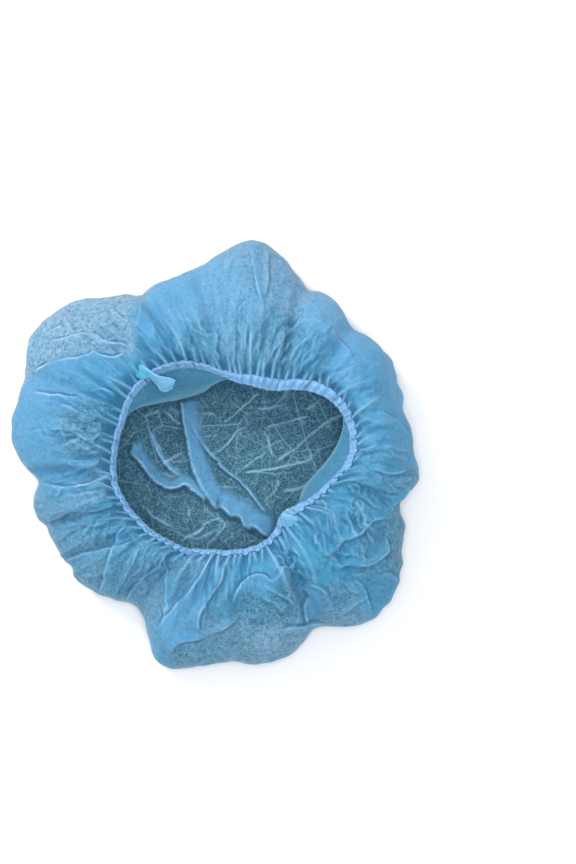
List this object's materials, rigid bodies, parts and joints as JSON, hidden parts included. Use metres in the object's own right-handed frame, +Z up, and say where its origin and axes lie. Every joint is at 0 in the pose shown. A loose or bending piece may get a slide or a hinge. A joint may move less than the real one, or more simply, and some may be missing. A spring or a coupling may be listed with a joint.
{
  "type": "disposable hairnet",
  "caption": "Bouffant cap of thin gathered nonwoven cloth with an elastic edge, lying open on its crown with its mouth up.",
  "frame": {"origin": "on the resting surface, under the middle of the cap's box", "axes": "+Z up out of the mouth, +X to the right and +Y away from the viewer as the cap lies"},
  "size_m": [0.3264, 0.3454, 0.0662],
  "materials": {
    "cloth": "thin translucent spunbond, matt with a faint sheen",
    "hem": "folded spunbond, ruffled by the elastic inside, matt",
    "weld": "melted and pressed fibre, smooth, a little glossy"
  },
  "bodies": {
    "root": {"crown": "cloth", "hem_back": "hem", "hem_front": "hem", "end_weld_left": "weld", "end_weld_right": "weld"}
  },
  "joints": []
}
